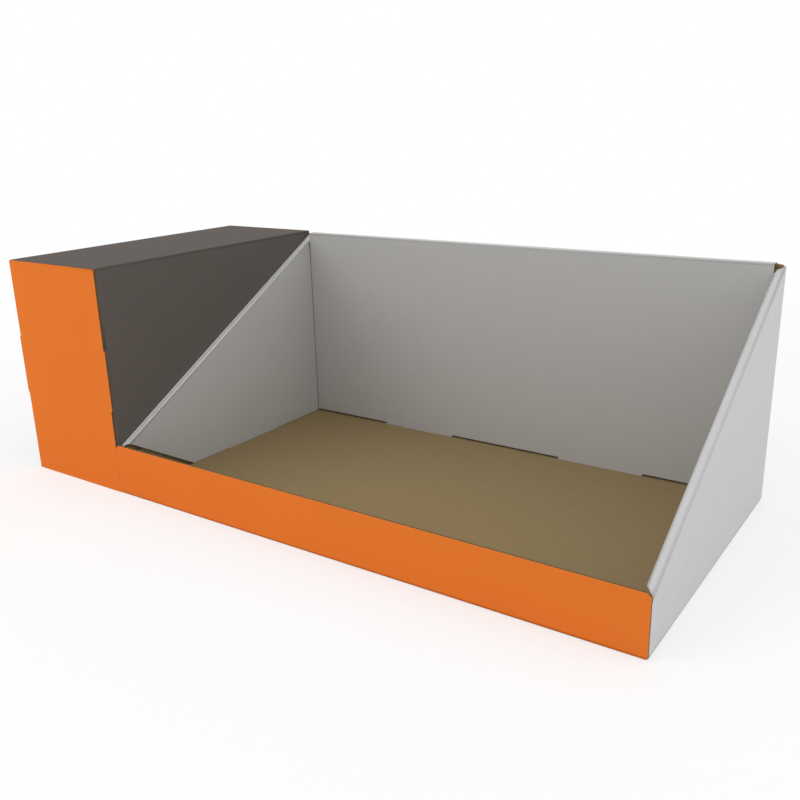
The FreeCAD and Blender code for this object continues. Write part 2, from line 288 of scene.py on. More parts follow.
class Shell:
    """The points and faces of a piece while it is made."""

    def __init__(self):
        self.points = []
        self.uvs = []
        self.worn = []
        self.faces = []
        self.kinds = []
        self.smooth = []

    def point(self, place, uv, worn=0.0):
        """Add a point and return its number."""
        self.points.append(place)
        self.uvs.append(uv)
        self.worn.append(worn)
        return len(self.points) - 1

    def face(self, corners, kind, smooth=False):
        """Add a face of three or more different corners."""
        ring = [corner for index, corner in enumerate(corners) if corner != corners[index - 1]]
        if len(ring) > 2:
            self.faces.append(ring)
            self.kinds.append(kind)
            self.smooth.append(smooth)

    def thicken(self, first_face, twin_place, smooth):
        """Close the sheet made since a face: a second side, and walls round its border."""
        sheet = self.faces[first_face:]
        twins = {}
        for corner in {corner for ring in sheet for corner in ring}:
            twins[corner] = self.point(twin_place(corner), self.uvs[corner], self.worn[corner])
        sides = {side for ring in sheet for side in zip(ring, ring[1:] + ring[:1])}
        for ring in sheet:
            self.face([twins[corner] for corner in reversed(ring)], RAW, smooth)
        for a, b in sorted(sides):
            if (b, a) not in sides:
                self.face([b, a, twins[a], twins[b]], RAW)

    def build(self, name, materials):
        """Make the mesh object."""
        mesh = bpy.data.meshes.new(name)
        mesh.from_pydata(self.points, [], self.faces)
        for material in materials:
            mesh.materials.append(material)
        mesh.polygons.foreach_set("material_index", self.kinds)
        mesh.polygons.foreach_set("use_smooth", self.smooth)
        layer = mesh.uv_layers.new(name="board_uv")
        corners = [self.uvs[loop.vertex_index] for loop in mesh.loops]
        layer.data.foreach_set("uv", [value for uv in corners for value in uv])
        worn = mesh.attributes.new("worn", "FLOAT", "POINT")
        worn.data.foreach_set("value", self.worn)
        mesh.validate()
        made = bpy.data.objects.new(name, mesh)
        bpy.context.scene.collection.objects.link(made)
        return made


class Sheet:
    """One sheet of a board's paper in a shell, and the flat place of each of its points."""

    def __init__(self, shell, board):
        self.shell = shell
        self.board = board
        self.first_face = len(shell.faces)
        self.flat_of = {}

    def point(self, place, depth, worn=0.0):
        """Add a point at a depth under the board's outward face."""
        number = self.shell.point(self.board.solid(place, depth), (place.x, place.y), worn)
        self.flat_of[number] = place
        return number

    def close(self, depth_at, smooth=False):
        """Close the sheet with a second side, given its depth at each flat place."""
        def twin_place(number):
            place = self.flat_of[number]
            return self.board.solid(place, depth_at(place))

        self.shell.thicken(self.first_face, twin_place, smooth)


def filled(hearts, flat_of):
    """Triangles that fill loops of numbered points, all turned the same way."""
    numbers = [number for heart in hearts for number in heart]
    outlines = [[flat_of[number].to_3d() for number in heart] for heart in hearts]
    rings = [[numbers[index] for index in corners] for corners in tessellate_polygon(outlines)]
    places = [[flat_of[number] for number in ring] for ring in rings]
    turn = sum((b - a).cross(c - a) for a, b, c in places)
    return rings if turn > 0 else [ring[::-1] for ring in rings]


def add_rim(sheet, loop, depth, dip):
    """Add a loop's outline, and the inner border of the crushed band along its cut edges."""
    inner_places = inset(loop, {"cut": CRUSHED_BAND, "fold": 0.0})
    rim, heart = [], []
    for index, (place, kind) in enumerate(loop):
        if "cut" in (kind, loop[index - 1][1]):
            rim.append(sheet.point(place, depth + dip, 1.0))
            heart.append(sheet.point(inner_places[index], depth))
        else:
            rim.append(sheet.point(place, depth))
            heart.append(rim[-1])
    return rim, heart


def add_liner(shell, board, side):
    """One paper face of a board, crushed down a little along its die-cut edges."""
    outward = side == OUTER
    depth, back_depth = (0.0, LINER) if outward else (BOARD, BOARD - LINER)
    dip = CRUSHED_DIP if outward else -CRUSHED_DIP
    sheet = Sheet(shell, board)
    bands, hearts = [], []
    for loop in board.loops:
        rim, heart = add_rim(sheet, loop, depth, dip)
        for index, (_, kind) in enumerate(loop):
            after = (index + 1) % len(loop)
            if kind == "cut":
                bands.append([rim[index], rim[after], heart[after], heart[index]])
        hearts.append(heart)
    for ring in bands + filled(hearts, sheet.flat_of):
        shell.face(ring if outward else ring[::-1], side)
    sheet.close(lambda place: back_depth)


def medium_depth(place):
    """Depth of the fluted paper's nearer side under the outward face."""
    swing = (BOARD - MEDIUM) / 2 - LINER
    middle = BOARD / 2 + swing * math.sin(math.tau * place.x / FLUTE_PITCH)
    return middle - MEDIUM / 2


def flute_stations(loops):
    """Places across the flutes: evenly spaced ones, and each corner of the outline."""
    corners = sorted({round(place.x, DIGITS) for loop in loops for place in loop})
    first = math.ceil(corners[0] / FLUTE_STEP)
    last = math.floor(corners[-1] / FLUTE_STEP)
    even = [index * FLUTE_STEP for index in range(first, last + 1)]
    clear = [place for place in even if min(abs(place - c) for c in corners) > FLUTE_STEP_LEAST]
    return sorted(corners + clear)


def column_spans(loops, start, end):
    """The stretches of a column that lie on the board: (low, high) at its start and its end."""
    middle = (start + end) / 2
    crossed = []
    for loop in loops:
        for here, there in sides_of(loop):
            if (here.x - middle) * (there.x - middle) < 0:
                rate = (there.y - here.y) / (there.x - here.x)
                heights = [here.y + rate * (place - here.x) for place in (middle, start, end)]
                crossed.append(heights)
    crossed.sort()
    return [(low[1:], high[1:]) for low, high in zip(crossed[::2], crossed[1::2])]


def station_marks(columns):
    """Where stretches of the columns beside each station start and end on it."""
    marks = [set() for _ in range(len(columns) + 1)]
    for number, spans in enumerate(columns):
        for low, high in spans:
            for side in (0, 1):
                marks[number + side].update((round(low[side], DIGITS), round(high[side], DIGITS)))
    return marks


def add_medium(shell, board):
    """The fluted paper between the liners."""
    loops = [inset(loop, {"cut": MEDIUM_INSET, "fold": 0.0}) for loop in board.loops]
    stations = flute_stations(loops)
    columns = [column_spans(loops, start, end) for start, end in zip(stations, stations[1:])]
    marks = station_marks(columns)
    sheet = Sheet(shell, board)
    points = {}

    def points_at(number, low, high):
        kept = [mark for mark in sorted(marks[number]) if low - TINY < mark < high + TINY]
        for mark in kept:
            if (number, mark) not in points:
                place = Vector((stations[number], mark))
                points[number, mark] = sheet.point(place, medium_depth(place))
        return [points[number, mark] for mark in kept]

    for number, spans in enumerate(columns):
        for low, high in spans:
            near = points_at(number, low[0], high[0])
            far = points_at(number + 1, low[1], high[1])
            shell.face(near[::-1] + far, RAW, True)
    sheet.close(lambda place: medium_depth(place) + MEDIUM, True)


# ---------------------------------------------------------------- creases


class Fold:
    """How a crease is folded.

    The power says how square it is, the score how deep a groove runs along it and the wear how
    rubbed it is. A fold with more haste takes the second board's ends earlier in its turn.
    """

    def __init__(self, power=TIGHT_FOLD, score=0.0, wear=CREASE_WEAR, haste=1.0):
        self.power = power
        self.score = score
        self.wear = wear
        self.haste = haste

    def radius(self, angle):
        """The outer radius at an angle of the turn."""
        square = (math.cos(angle) ** self.power + math.sin(angle) ** self.power) ** (-1 / self.power)
        off = (angle - math.pi / 4) / SCORE_HALF_ANGLE
        return BOARD * square - self.score * math.exp(-off * off)


class Crease:
    """The rounded fold between two boards whose faces are square to each other."""

    def __init__(self, first, second):
        self.boards = (first, second)
        self.run = first.normal.cross(second.normal)
        self.heart = first.normal * (first.level - BOARD) + second.normal * (second.level - BOARD)
        self.limits = (second.level - BOARD - GAP, first.level - BOARD - GAP)

    def cut(self):
        """Cut both boards back to where the crease starts."""
        first, second = self.boards
        first.clip(second.normal, self.limits[0])
        second.clip(first.normal, self.limits[1])

    def spans(self):
        """The crease's two edges on the first board and on the second, piece by piece."""
        first, second = self.boards
        return (
            first.edge_spans(second.normal, self.limits[0], self.run),
            second.edge_spans(first.normal, self.limits[1], self.run),
        )

    def keep_unfolded(self):
        """Give the first board back the stretches of its edge that the second doesn't reach."""
        first, second = self.boards
        on_first, on_second = self.spans()
        low, high = on_first[0][0], on_first[-1][1]
        edges = [low] + [place for span in on_second for place in span] + [high]
        bare = [(start, end) for start, end in zip(edges[::2], edges[1::2]) if end - start > BOARD]
        first.step(second.normal, self.limits[0], self.run, bare, BOARD + GAP)

    def section(self, fold):
        """Points of the cross-section: (outer offset, inner offset, share of the turn)."""
        a, b = self.boards[0].normal, self.boards[1].normal
        points = [(a * BOARD - b * GAP, b * -GAP, 0.0)]
        for index in range(CREASE_STEPS + 1):
            angle = math.pi / 2 * index / CREASE_STEPS
            turned = a * math.cos(angle) + b * math.sin(angle)
            bead = a * math.sin(angle) + b * math.cos(angle)
            points.append((turned * fold.radius(angle), bead * -GAP, index / CREASE_STEPS))
        points.append((b * BOARD - a * GAP, a * -GAP, 1.0))
        return points

    def add_line(self, shell, offset, places, across, worn=0.0):
        """Add the two ends of a line along the crease."""
        start = self.heart + offset
        return [shell.point(start + self.run * place, (across, place), worn) for place in places]

    def add_rows(self, shell, ends, fold):
        """Add each line of the cross-section: two outer points, then two inner ones."""
        rows = []
        inner_before = None
        for outer, inner, share in self.section(fold):
            moved = min(1.0, share * fold.haste)
            places = [first + (second - first) * moved for first, second in zip(*ends)]
            across = share * BOARD * math.pi / 2
            worn = fold.wear * math.sin(math.pi * share)
            row = self.add_line(shell, outer, places, across, worn)
            if rows and (inner - inner_before).length < TINY:
                row += rows[-1][2:]
            else:
                row += self.add_line(shell, inner, places, across)
            inner_before = inner
            rows.append(row)
        return rows

    def add_to(self, shell, ends, fold, kinds=(OUTER, SECOND)):
        """Add the crease between its ends on the first board and its ends on the second."""
        rows = self.add_rows(shell, ends, fold)
        steps = len(rows) - 1
        for index, (row, following) in enumerate(zip(rows, rows[1:])):
            kind = kinds[0] if index < steps / 2 else kinds[1]
            low, high, inner_low, inner_high = row
            next_low, next_high, next_inner_low, next_inner_high = following
            shell.face([low, next_low, next_high, high], kind, True)
            shell.face([inner_high, next_inner_high, next_inner_low, inner_low], INNER, True)
            shell.face([low, inner_low, next_inner_low, next_low], RAW)
            shell.face([high, next_high, next_inner_high, inner_high], RAW)
        low, high, inner_low, inner_high = rows[0]
        shell.face([low, high, inner_high, inner_low], RAW)
        low, high, inner_low, inner_high = rows[-1]
        shell.face([low, inner_low, inner_high, high], RAW)

    def bend_points(self, ends):
        """Where the crease starts and stops turning, half-way along it."""
        a, b = self.boards[0].normal, self.boards[1].normal
        middle = self.heart + self.run * (sum(ends[0]) / 2)
        return middle + (a - b) * (GAP / 2), middle + (b - a) * (GAP / 2)


# ---------------------------------------------------------------- materials


class Nodes:
    """The node tree of a material or a world, built by short calls."""

    def __init__(self, owner):
        owner.use_nodes = True
        self.owner = owner
        self.tree = owner.node_tree
        self.tree.nodes.clear()

    def add(self, kind, **settings):
        """A node with its settings."""
        node = self.tree.nodes.new(kind)
        for key, value in settings.items():
            setattr(node, key, value)
        return node

    def link(self, source, target):
        """Join an output to an input, or set the input to a plain value."""
        if isinstance(source, bpy.types.NodeSocket):
            self.tree.links.new(source, target)
        else:
            target.default_value = source

    def maths(self, operation, *values):
        """A Math node's result."""
        node = self.add("ShaderNodeMath", operation=operation)
        for value, target in zip(values, node.inputs):
            self.link(value, target)
        return node.outputs[0]

    def mix(self, share, first, second):
        """The first colour where a share is 0, the second where it is 1."""
        node = self.add("ShaderNodeMix", data_type="RGBA")
        self.link(share, node.inputs["Factor"])
        self.link(first, node.inputs["A"])
        self.link(second, node.inputs["B"])
        return node.outputs["Result"]

    def tint(self, colour, other, mask, amount):
        """A colour that goes an amount of the way to another where a mask is 1."""
        return self.mix(self.maths("MULTIPLY", mask, amount), colour, other)

    def spread(self, value, low, high, to_low=0.0, to_high=1.0):
        """A value mapped from one range to another, smoothly, within its ends."""
        node = self.add("ShaderNodeMapRange", interpolation_type="SMOOTHSTEP")
        for number, item in enumerate((value, low, high, to_low, to_high)):
            self.link(item, node.inputs[number])
        return node.outputs[0]

    def noise(self, where, per_metre, detail, roughness=0.5):
        """Grey noise, with a number of lumps per metre."""
        node = self.add("ShaderNodeTexNoise")
        self.link(where, node.inputs["Vector"])
        self.link(per_metre, node.inputs["Scale"])
        self.link(detail, node.inputs["Detail"])
        self.link(roughness, node.inputs["Roughness"])
        return node.outputs["Fac"]

    def streaks(self, board_uv, across, along, detail, roughness):
        """Grey noise drawn out along the flutes, with its lumps per metre across and along."""
        node = self.add("ShaderNodeMapping")
        self.link(board_uv, node.inputs["Vector"])
        node.inputs["Scale"].default_value = (across, along, 1.0)
        return self.noise(node.outputs[0], 1.0, detail, roughness)

    def places(self):
        """Object coordinates, the board's own coordinates, and how worn the surface is."""
        coordinates = self.add("ShaderNodeTexCoord")
        board_uv = self.add("ShaderNodeUVMap", uv_map="board_uv")
        worn = self.add("ShaderNodeAttribute", attribute_name="worn")
        return coordinates.outputs["Object"], board_uv.outputs["UV"], worn.outputs["Fac"]

    def flute_wave(self, board_uv):
        """The washboard that the flutes press into a liner: 0 in a valley, 1 on a flute."""
        split = self.add("ShaderNodeSeparateXYZ")
        self.link(board_uv, split.inputs[0])
        turns = self.maths("MULTIPLY", split.outputs["X"], math.tau / FLUTE_PITCH)
        return self.maths("MULTIPLY_ADD", self.maths("SINE", turns), 0.5, 0.5)

    def shader(self, kind, **inputs):
        """A shader's output, with plain values on the shader's own sockets."""
        node = self.add(kind)
        for name, value in inputs.items():
            node.inputs[name].default_value = value
        return node.outputs[0]

    def mix_shaders(self, share, first, second):
        """The first shader where a share is 0, the second where it is 1."""
        node = self.add("ShaderNodeMixShader")
        for number, item in enumerate((share, first, second)):
            self.link(item, node.inputs[number])
        return node.outputs[0]

    def finish(self, colour, roughness, height, bump_size, specular):
        """The shader of a paper with its bump, and the finished material."""
        shader = self.add("ShaderNodeBsdfPrincipled")
        self.link(colour, shader.inputs["Base Color"])
        self.link(roughness, shader.inputs["Roughness"])
        shader.inputs["Specular IOR Level"].default_value = specular
        bump = self.add("ShaderNodeBump")
        bump.inputs["Strength"].default_value = 1.0
        bump.inputs["Distance"].default_value = bump_size
        self.link(height, bump.inputs["Height"])
        self.link(bump.outputs[0], shader.inputs["Normal"])
        output = self.add("ShaderNodeOutputMaterial")
        self.link(shader.outputs[0], output.inputs[0])
        return self.owner


def linear(red, green, blue):
    """A colour given as it shows on a screen, from 0 to 255, as scene values."""
    values = [part / 255 for part in (red, green, blue)]
    return [((v + 0.055) / 1.055) ** 2.4 if v > 0.04045 else v / 12.92 for v in values] + [1.0]


def shaded(colour, factor):
    """A colour made darker or lighter by a factor."""
    return [part * factor for part in colour[:3]] + [1.0]


def neutral(level):
    """A grey."""
    return [level] * 3 + [1.0]


# Inks and papers
ORANGE_INK = linear(236, 125, 49)
GREY_INK = linear(100, 94, 90)
# The tower top's grey is darker than the sides' grey though it is the same ink: painted shade
# against the stronger light on the top
TOP_SHADED_GREY_INK = linear(92, 85, 80)
UNDER_ORANGE = linear(222, 186, 142)
UNDER_GREY = linear(150, 132, 110)
WHITE_TONE = linear(211, 211, 212)
# The left top strip's paler white is painted light, for the light that the tower keeps off it
RIM_PAINTED_LIGHT_TONE = linear(229, 229, 230)
# The inner walls' greyer white is painted shade, the darkness inside the bin, on the same board as
# the strips
BIN_PAINTED_SHADE_TONE = linear(191, 190, 188)
FLECK_TONE = linear(170, 160, 145)
GRUBBY_TONE = linear(176, 158, 132)
KRAFT_TONE = linear(158, 137, 101)
RAW_TONE = linear(152, 124, 84)

# Height of each surface's relief
PRINT_RELIEF = 0.04 * MM
WHITE_RELIEF = 0.045 * MM
KRAFT_RELIEF = 0.09 * MM
RAW_RELIEF = 0.14 * MM

# Shares of that height: the flutes' washboard, the fine grain and the felt marks
FLUTE_SHARE = 0.55
GRAIN_SHARE = 0.35
FELT_SHARE = 0.3

# Grains per metre, and grains to each felt mark
PRINT_GRAIN = 1900.0
WHITE_GRAIN = 1700.0
KRAFT_GRAIN = 1500.0
FELT_COARSENESS = 6

# Roughness where a surface is glossiest, how much it rises from there, and specular levels
ORANGE_ROUGHNESS = 0.42
GREY_ROUGHNESS = 0.45
WHITE_ROUGHNESS = 0.52
KRAFT_ROUGHNESS = 0.7
ROUGHNESS_RISE = 0.12
PRINT_SPECULAR = 0.015
WHITE_SPECULAR = 0.05
KRAFT_SPECULAR = 0.03


def paper_relief(nodes, where, board_uv, grain):
    """The height of a liner's surface, from its washboard and its grain, and the washboard."""
    flute = nodes.flute_wave(board_uv)
    fine = nodes.noise(where, grain, detail=3.0, roughness=0.6)
    felt = nodes.noise(where, grain / FELT_COARSENESS, detail=2.0)
    felt_height = nodes.maths("MULTIPLY", felt, FELT_SHARE)
    fibre_height = nodes.maths("MULTIPLY_ADD", fine, GRAIN_SHARE, felt_height)
    return nodes.maths("MULTIPLY_ADD", flute, FLUTE_SHARE, fibre_height), flute


def cloudy(nodes, tone, cloud, dark, pale):
    """A tone that drifts between two shades of itself."""
    share = nodes.spread(cloud, low=0.3, high=0.7)
    return nodes.mix(share, shaded(tone, dark), shaded(tone, pale))


def rubbed(nodes, where, worn, per_metre, ragged, start, end, most):
    """How far a surface is rubbed through where it is worn, with a ragged border."""
    noise = nodes.noise(where, per_metre, detail=4.0, roughness=0.7)
    wear = nodes.maths("ADD", worn, nodes.maths("MULTIPLY", noise, ragged))
    return nodes.spread(wear, start, end, to_high=most)


def varied_roughness(nodes, pattern, least):
    """A roughness that rises with a pattern."""
    most = least + ROUGHNESS_RISE
    return nodes.spread(pattern, low=0.0, high=1.0, to_low=least, to_high=most)


def printed_paper(name, ink, bare, least_roughness):
    """Flexo print on a liner: a mottled ink film, worn through to the paper along the edges."""
    nodes = Nodes(bpy.data.materials.new(name))
    where, board_uv, worn = nodes.places()
    height, flute = paper_relief(nodes, where, board_uv, PRINT_GRAIN)
    cloud = nodes.noise(where, per_metre=14.0, detail=3.0)
    blots = nodes.noise(where, per_metre=420.0, detail=3.0, roughness=0.65)
    mottle = nodes.spread(blots, low=0.25, high=0.75)
    pits = nodes.noise(where, per_metre=1500.0, detail=1.0)
    pinholes = nodes.spread(pits, low=0.71, high=0.78)
    wear = rubbed(nodes, where, worn, per_metre=260.0, ragged=0.9, start=1.18, end=1.55, most=0.75)
    colour = cloudy(nodes, ink, cloud, dark=0.985, pale=1.015)
    colour = nodes.tint(colour, shaded(ink, 1.07), mottle, amount=0.5)
    colour = nodes.tint(colour, shaded(ink, 0.93), flute, amount=0.12)
    colour = nodes.tint(colour, bare, pinholes, amount=0.35)
    colour = nodes.mix(wear, colour, bare)
    roughness = varied_roughness(nodes, mottle, least_roughness)
    return nodes.finish(colour, roughness, height, PRINT_RELIEF, PRINT_SPECULAR)


def white_paper(name, tone):
    """A white top liner: bleached fibres with a slight cloudiness, grubby where it is handled."""
    nodes = Nodes(bpy.data.materials.new(name))
    where, board_uv, worn = nodes.places()
    height, flute = paper_relief(nodes, where, board_uv, WHITE_GRAIN)
    cloud = nodes.noise(where, per_metre=22.0, detail=4.0, roughness=0.6)
    tufts = nodes.noise(where, per_metre=330.0, detail=3.0, roughness=0.6)
    formation = nodes.spread(tufts, low=0.3, high=0.7)
    fibres = nodes.streaks(board_uv, across=2600.0, along=420.0, detail=2.0, roughness=0.6)
    flecks = nodes.spread(fibres, low=0.68, high=0.78, to_high=0.35)
    wear = rubbed(nodes, where, worn, per_metre=210.0, ragged=0.8, start=1.2, end=1.6, most=0.6)
    crushed = nodes.spread(worn, low=0.0, high=CREASE_WEAR, to_high=0.85)
    colour = cloudy(nodes, tone, cloud, dark=0.985, pale=1.01)
    colour = nodes.tint(colour, shaded(tone, 0.965), formation, amount=0.6)
    colour = nodes.tint(colour, shaded(tone, 0.94), flute, amount=0.22)
    colour = nodes.mix(flecks, colour, FLECK_TONE)
    colour = nodes.mix(wear, colour, GRUBBY_TONE)
    colour = nodes.mix(crushed, colour, shaded(tone, 0.86))
    roughness = varied_roughness(nodes, formation, WHITE_ROUGHNESS)
    return nodes.finish(colour, roughness, height, WHITE_RELIEF, WHITE_SPECULAR)


def kraft_paper(name, tone, relief):
    """Unbleached kraft liner: long brown fibres, dark specks and cloudy formation."""
    nodes = Nodes(bpy.data.materials.new(name))
    where, board_uv, worn = nodes.places()
    height, flute = paper_relief(nodes, where, board_uv, KRAFT_GRAIN)
    cloud = nodes.noise(where, per_metre=60.0, detail=4.0, roughness=0.7)
    tufts = nodes.noise(where, per_metre=260.0, detail=4.0, roughness=0.65)
    formation = nodes.spread(tufts, low=0.25, high=0.75)
    long_fibres = nodes.streaks(board_uv, across=2400.0, along=300.0, detail=3.0, roughness=0.65)
    pale = nodes.spread(long_fibres, low=0.62, high=0.76, to_high=0.5)
    short_fibres = nodes.streaks(board_uv, across=1500.0, along=240.0, detail=2.0, roughness=0.6)
    specks = nodes.spread(short_fibres, low=0.68, high=0.8, to_high=0.6)
    frayed = rubbed(nodes, where, worn, per_metre=300.0, ragged=0.8, start=1.2, end=1.6, most=0.5)
    colour = cloudy(nodes, tone, cloud, dark=0.965, pale=1.035)
    colour = nodes.tint(colour, shaded(tone, 0.86), formation, amount=0.55)
    colour = nodes.tint(colour, shaded(tone, 0.88), flute, amount=0.35)
    colour = nodes.mix(pale, colour, shaded(tone, 1.45))
    colour = nodes.mix(specks, colour, shaded(tone, 0.5))
    colour = nodes.mix(frayed, colour, shaded(tone, 1.5))
    roughness = varied_roughness(nodes, formation, KRAFT_ROUGHNESS)
    return nodes.finish(colour, roughness, height, relief, KRAFT_SPECULAR)


MATERIALS = {
    "orange": printed_paper("orange_print_on_board", ORANGE_INK, UNDER_ORANGE, ORANGE_ROUGHNESS),
    "grey": printed_paper("dark_grey_print_on_board", GREY_INK, UNDER_GREY, GREY_ROUGHNESS),
    # The tower top's darker grey is painted shade
    "top_painted_shade_grey": printed_paper("dark_grey_print_on_top_painted_shade", TOP_SHADED_GREY_INK, UNDER_GREY, GREY_ROUGHNESS),
    "white": white_paper("white_liner_paper", WHITE_TONE),
    # The left top strip's paler white is painted light
    "rim_painted_light_white": white_paper("rim_liner_paper_painted_light", RIM_PAINTED_LIGHT_TONE),
    # The inner walls' greyer white is painted shade
    "bin_painted_shade_white": white_paper("bin_liner_paper_painted_shade", BIN_PAINTED_SHADE_TONE),
    "kraft": kraft_paper("kraft_liner_paper", KRAFT_TONE, KRAFT_RELIEF),
    "raw": kraft_paper("raw_board_edge", RAW_TONE, RAW_RELIEF),
}


# ---------------------------------------------------------------- the display's boards

UP_SLOPE, OFF_SLOPE = slope_directions()

BOARDS = {}

# The lock tabs that each inner wall runs down into.
LOCK_TABS = {
    "back_inner_wall": ["back_lock_tab_left", "back_lock_tab_right"],
    "left_inner_wall": ["left_lock_tab"],
    "right_inner_wall": ["right_lock_tab"],
}


def strip_flutes(outward):
    """Flutes run level in a side's outer wall, so they cross its top strip aslant."""
    return UP_SLOPE * UP_SLOPE.y - outward * UP_SLOPE.z


def rolled_flutes():
    """Flutes of an inner side wall: level ones mirrored in the slope."""
    return UP_SLOPE * (2 * UP_SLOPE.y) - Y


def add_board(node, outward, flutes, outer, inner="kraft"):
    """Take a node's outline from the frame, with the papers of its outward and inward side."""
    BOARDS[node] = Board(node, outward, flutes, outer, inner)


def tower_boards():
    """The folded tower."""
    add_board("tower_base", -Z, X, "grey")
    add_board("tower_base_glue_flap", -Z, X, "grey")
    # The top takes the darker grey, which is painted shade
    add_board("tower_top_panel", Z, X, "top_painted_shade_grey")
    add_board("tower_back_panel", Y, Z, "grey")
    add_board("tower_base_flap_front", -Y, Z, "grey")
    add_board("tower_top_flap_back", Y, Z, "grey")
    add_board("tower_front_panel", -Y, Z, "orange")
    for side, outward in (("left", -X), ("right", X)):
        add_board(f"tower_{side}_wall", outward, Z, "grey")
        add_board(f"tower_front_flap_{side}", -Y, Z, "grey")
        add_board(f"tower_back_flap_{side}", Y, Z, "grey")
        add_board(f"tower_front_tab_{side}", outward, Z, "orange")


def tray_boards():
    """The folded tray with its double walls."""
    add_board("tray_floor", -Z, Y, "white")
    add_board("front_lip", -Y, Z, "orange")
    add_board("back_outer_wall", Y, Z, "white")
    add_board("back_top_strip", Z, Y, "white")
    # The inner walls take the greyer white, which is painted shade
    add_board("back_inner_wall", -Y, Z, "bin_painted_shade_white")
    # The left top strip takes the paler white, which is painted light
    for side, outward, rim in (("left", -X, "rim_painted_light_white"), ("right", X, "white")):
        add_board(f"lip_corner_flap_{side}", outward, Z, "white")
        add_board(f"back_corner_flap_{side}", outward, Z, "white")
        add_board(f"{side}_outer_wall", outward, Y, "white")
        add_board(f"{side}_top_strip", OFF_SLOPE, strip_flutes(outward), rim)
        add_board(f"{side}_inner_wall", -outward, rolled_flutes(), "bin_painted_shade_white")


def add_lock_tabs(wall, tabs):
    """Let an inner wall's lower edge run down into its lock tabs, which are equally long."""
    run = X if wall.startswith("back") else Y
    boxes = [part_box(tab) for tab in tabs]
    spans = [(low.dot(run), high.dot(run)) for low, high in boxes]
    low, high = boxes[-1]
    BOARDS[wall].step(-Z, -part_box(wall)[0].z, run, spans, high.z - low.z)


def close_corner(side, outward):
    """Bring a side inner wall's back edge and the back wall's end up to each other."""
    wall = f"{side}_inner_wall"
    low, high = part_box(wall)
    back_low, back_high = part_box("back_inner_wall")
    seam = back_low.y - high.y - CORNER_SEAM
    BOARDS[wall].step(Y, high.y, Z, [(low.z, high.z - CORNER_RELIEF)], seam)
    face = min(low.dot(outward), high.dot(outward))
    end = max(back_low.dot(outward), back_high.dot(outward))
    reach = face - end - CORNER_SEAM
    BOARDS["back_inner_wall"].step(outward, end, Z, [(back_low.z, back_high.z)], reach)


tower_boards()
tray_boards()
close_corner("left", -X)
close_corner("right", X)
for wall, tabs in LOCK_TABS.items():
    add_lock_tabs(wall, tabs)


# ---------------------------------------------------------------- the display's creases

# Creases within one body, each built into the piece of its first board.
FIXED_FOLDS = [
    ("tower_right_wall", "tower_base"),
    ("tower_left_wall", "tower_base"),
    ("tower_top_panel", "tower_right_wall"),
    ("tower_top_panel", "tower_left_wall"),
    ("tower_back_panel", "tower_base"),
    ("tower_right_wall", "tower_back_flap_right"),
    ("tower_left_wall", "tower_back_flap_left"),
    ("front_lip", "tray_floor"),
    ("left_outer_wall", "tray_floor"),
    ("right_outer_wall", "tray_floor"),
    ("back_outer_wall", "tray_floor"),
]

# The same, where the second board is folded from only a part of the first one's edge.
PART_FOLDS = [
    ("tower_right_wall", "tower_front_flap_right"),
    ("tower_left_wall", "tower_front_flap_left"),
    ("tower_base", "tower_base_flap_front"),
    ("tower_top_panel", "tower_top_flap_back"),
    ("back_outer_wall", "back_corner_flap_left"),
    ("back_outer_wall", "back_corner_flap_right"),
]

# Creases that a joint bends.
MOVING_FOLDS = {
    "tower_front_crease": ("tower_top_panel", "tower_front_panel"),
    "left_outer_crease": ("left_outer_wall", "left_top_strip"),
    "left_inner_crease": ("left_top_strip", "left_inner_wall"),
    "right_outer_crease": ("right_outer_wall", "right_top_strip"),
    "right_inner_crease": ("right_top_strip", "right_inner_wall"),
    "back_outer_crease": ("back_outer_wall", "back_top_strip"),
    "back_inner_crease": ("back_top_strip", "back_inner_wall"),
}

# How each of them is folded, and the kind of the faces on its second half.
SIDE_INNER_FOLD = Fold(ROUND_FOLD, wear=0.0)
MOVING_CREASE_LOOKS = {
    "tower_front_crease": (Fold(), SECOND),
    "left_outer_crease": (Fold(wear=0.0), SECOND),
    "left_inner_crease": (SIDE_INNER_FOLD, SECOND),
    "right_outer_crease": (Fold(score=SCORE_DEPTH), OUTER),
    "right_inner_crease": (SIDE_INNER_FOLD, OUTER),
    "back_outer_crease": (Fold(haste=BACK_CORNER_HASTE), OUTER),
    "back_inner_crease": (Fold(), SECOND),
}

# A side's outer wall reaches further back than its top strip, and the strip further than the
# inner wall. The outer crease is as long as the wall, and the strip keeps the inner one's end.
LONG_CREASES = ("left_outer_crease", "right_outer_crease")
SPLIT_CREASES = ("left_inner_crease", "right_inner_crease")


def crease_between(pair):
    """The crease of two boards, which are cut back to it."""
    crease = Crease(BOARDS[pair[0]], BOARDS[pair[1]])
    crease.cut()
    return crease


fixed_creases = [crease_between(pair) for pair in FIXED_FOLDS]
part_creases = [crease_between(pair) for pair in PART_FOLDS]
moving_creases = {name: crease_between(pair) for name, pair in MOVING_FOLDS.items()}
for crease in part_creases:
    crease.keep_unfolded()


def first_spans(crease):
    """The first piece of a crease's edge on its first board and on its second."""
    on_first, on_second = crease.spans()
    return on_first[0], on_second[0]


def ended_like(crease, span, other):
    """A crease's span, ended at the back where another one ends."""
    return (span[0], other[1]) if crease.run.y > 0 else (other[0], span[1])


def ends_behind(crease):
    """The ends of the part of a crease that lies behind its second board."""
    first, second = first_spans(crease)
    behind = (second[1], first[1]) if crease.run.y > 0 else (first[0], second[0])
    return behind, behind


def moving_ends(name, crease):
    """The ends of the part of a crease that bends with a joint."""
    first, second = first_spans(crease)
    if name in SPLIT_CREASES:
        first = ended_like(crease, first, second)
    if name in LONG_CREASES:
        second = ended_like(crease, second, first)
    return first, second


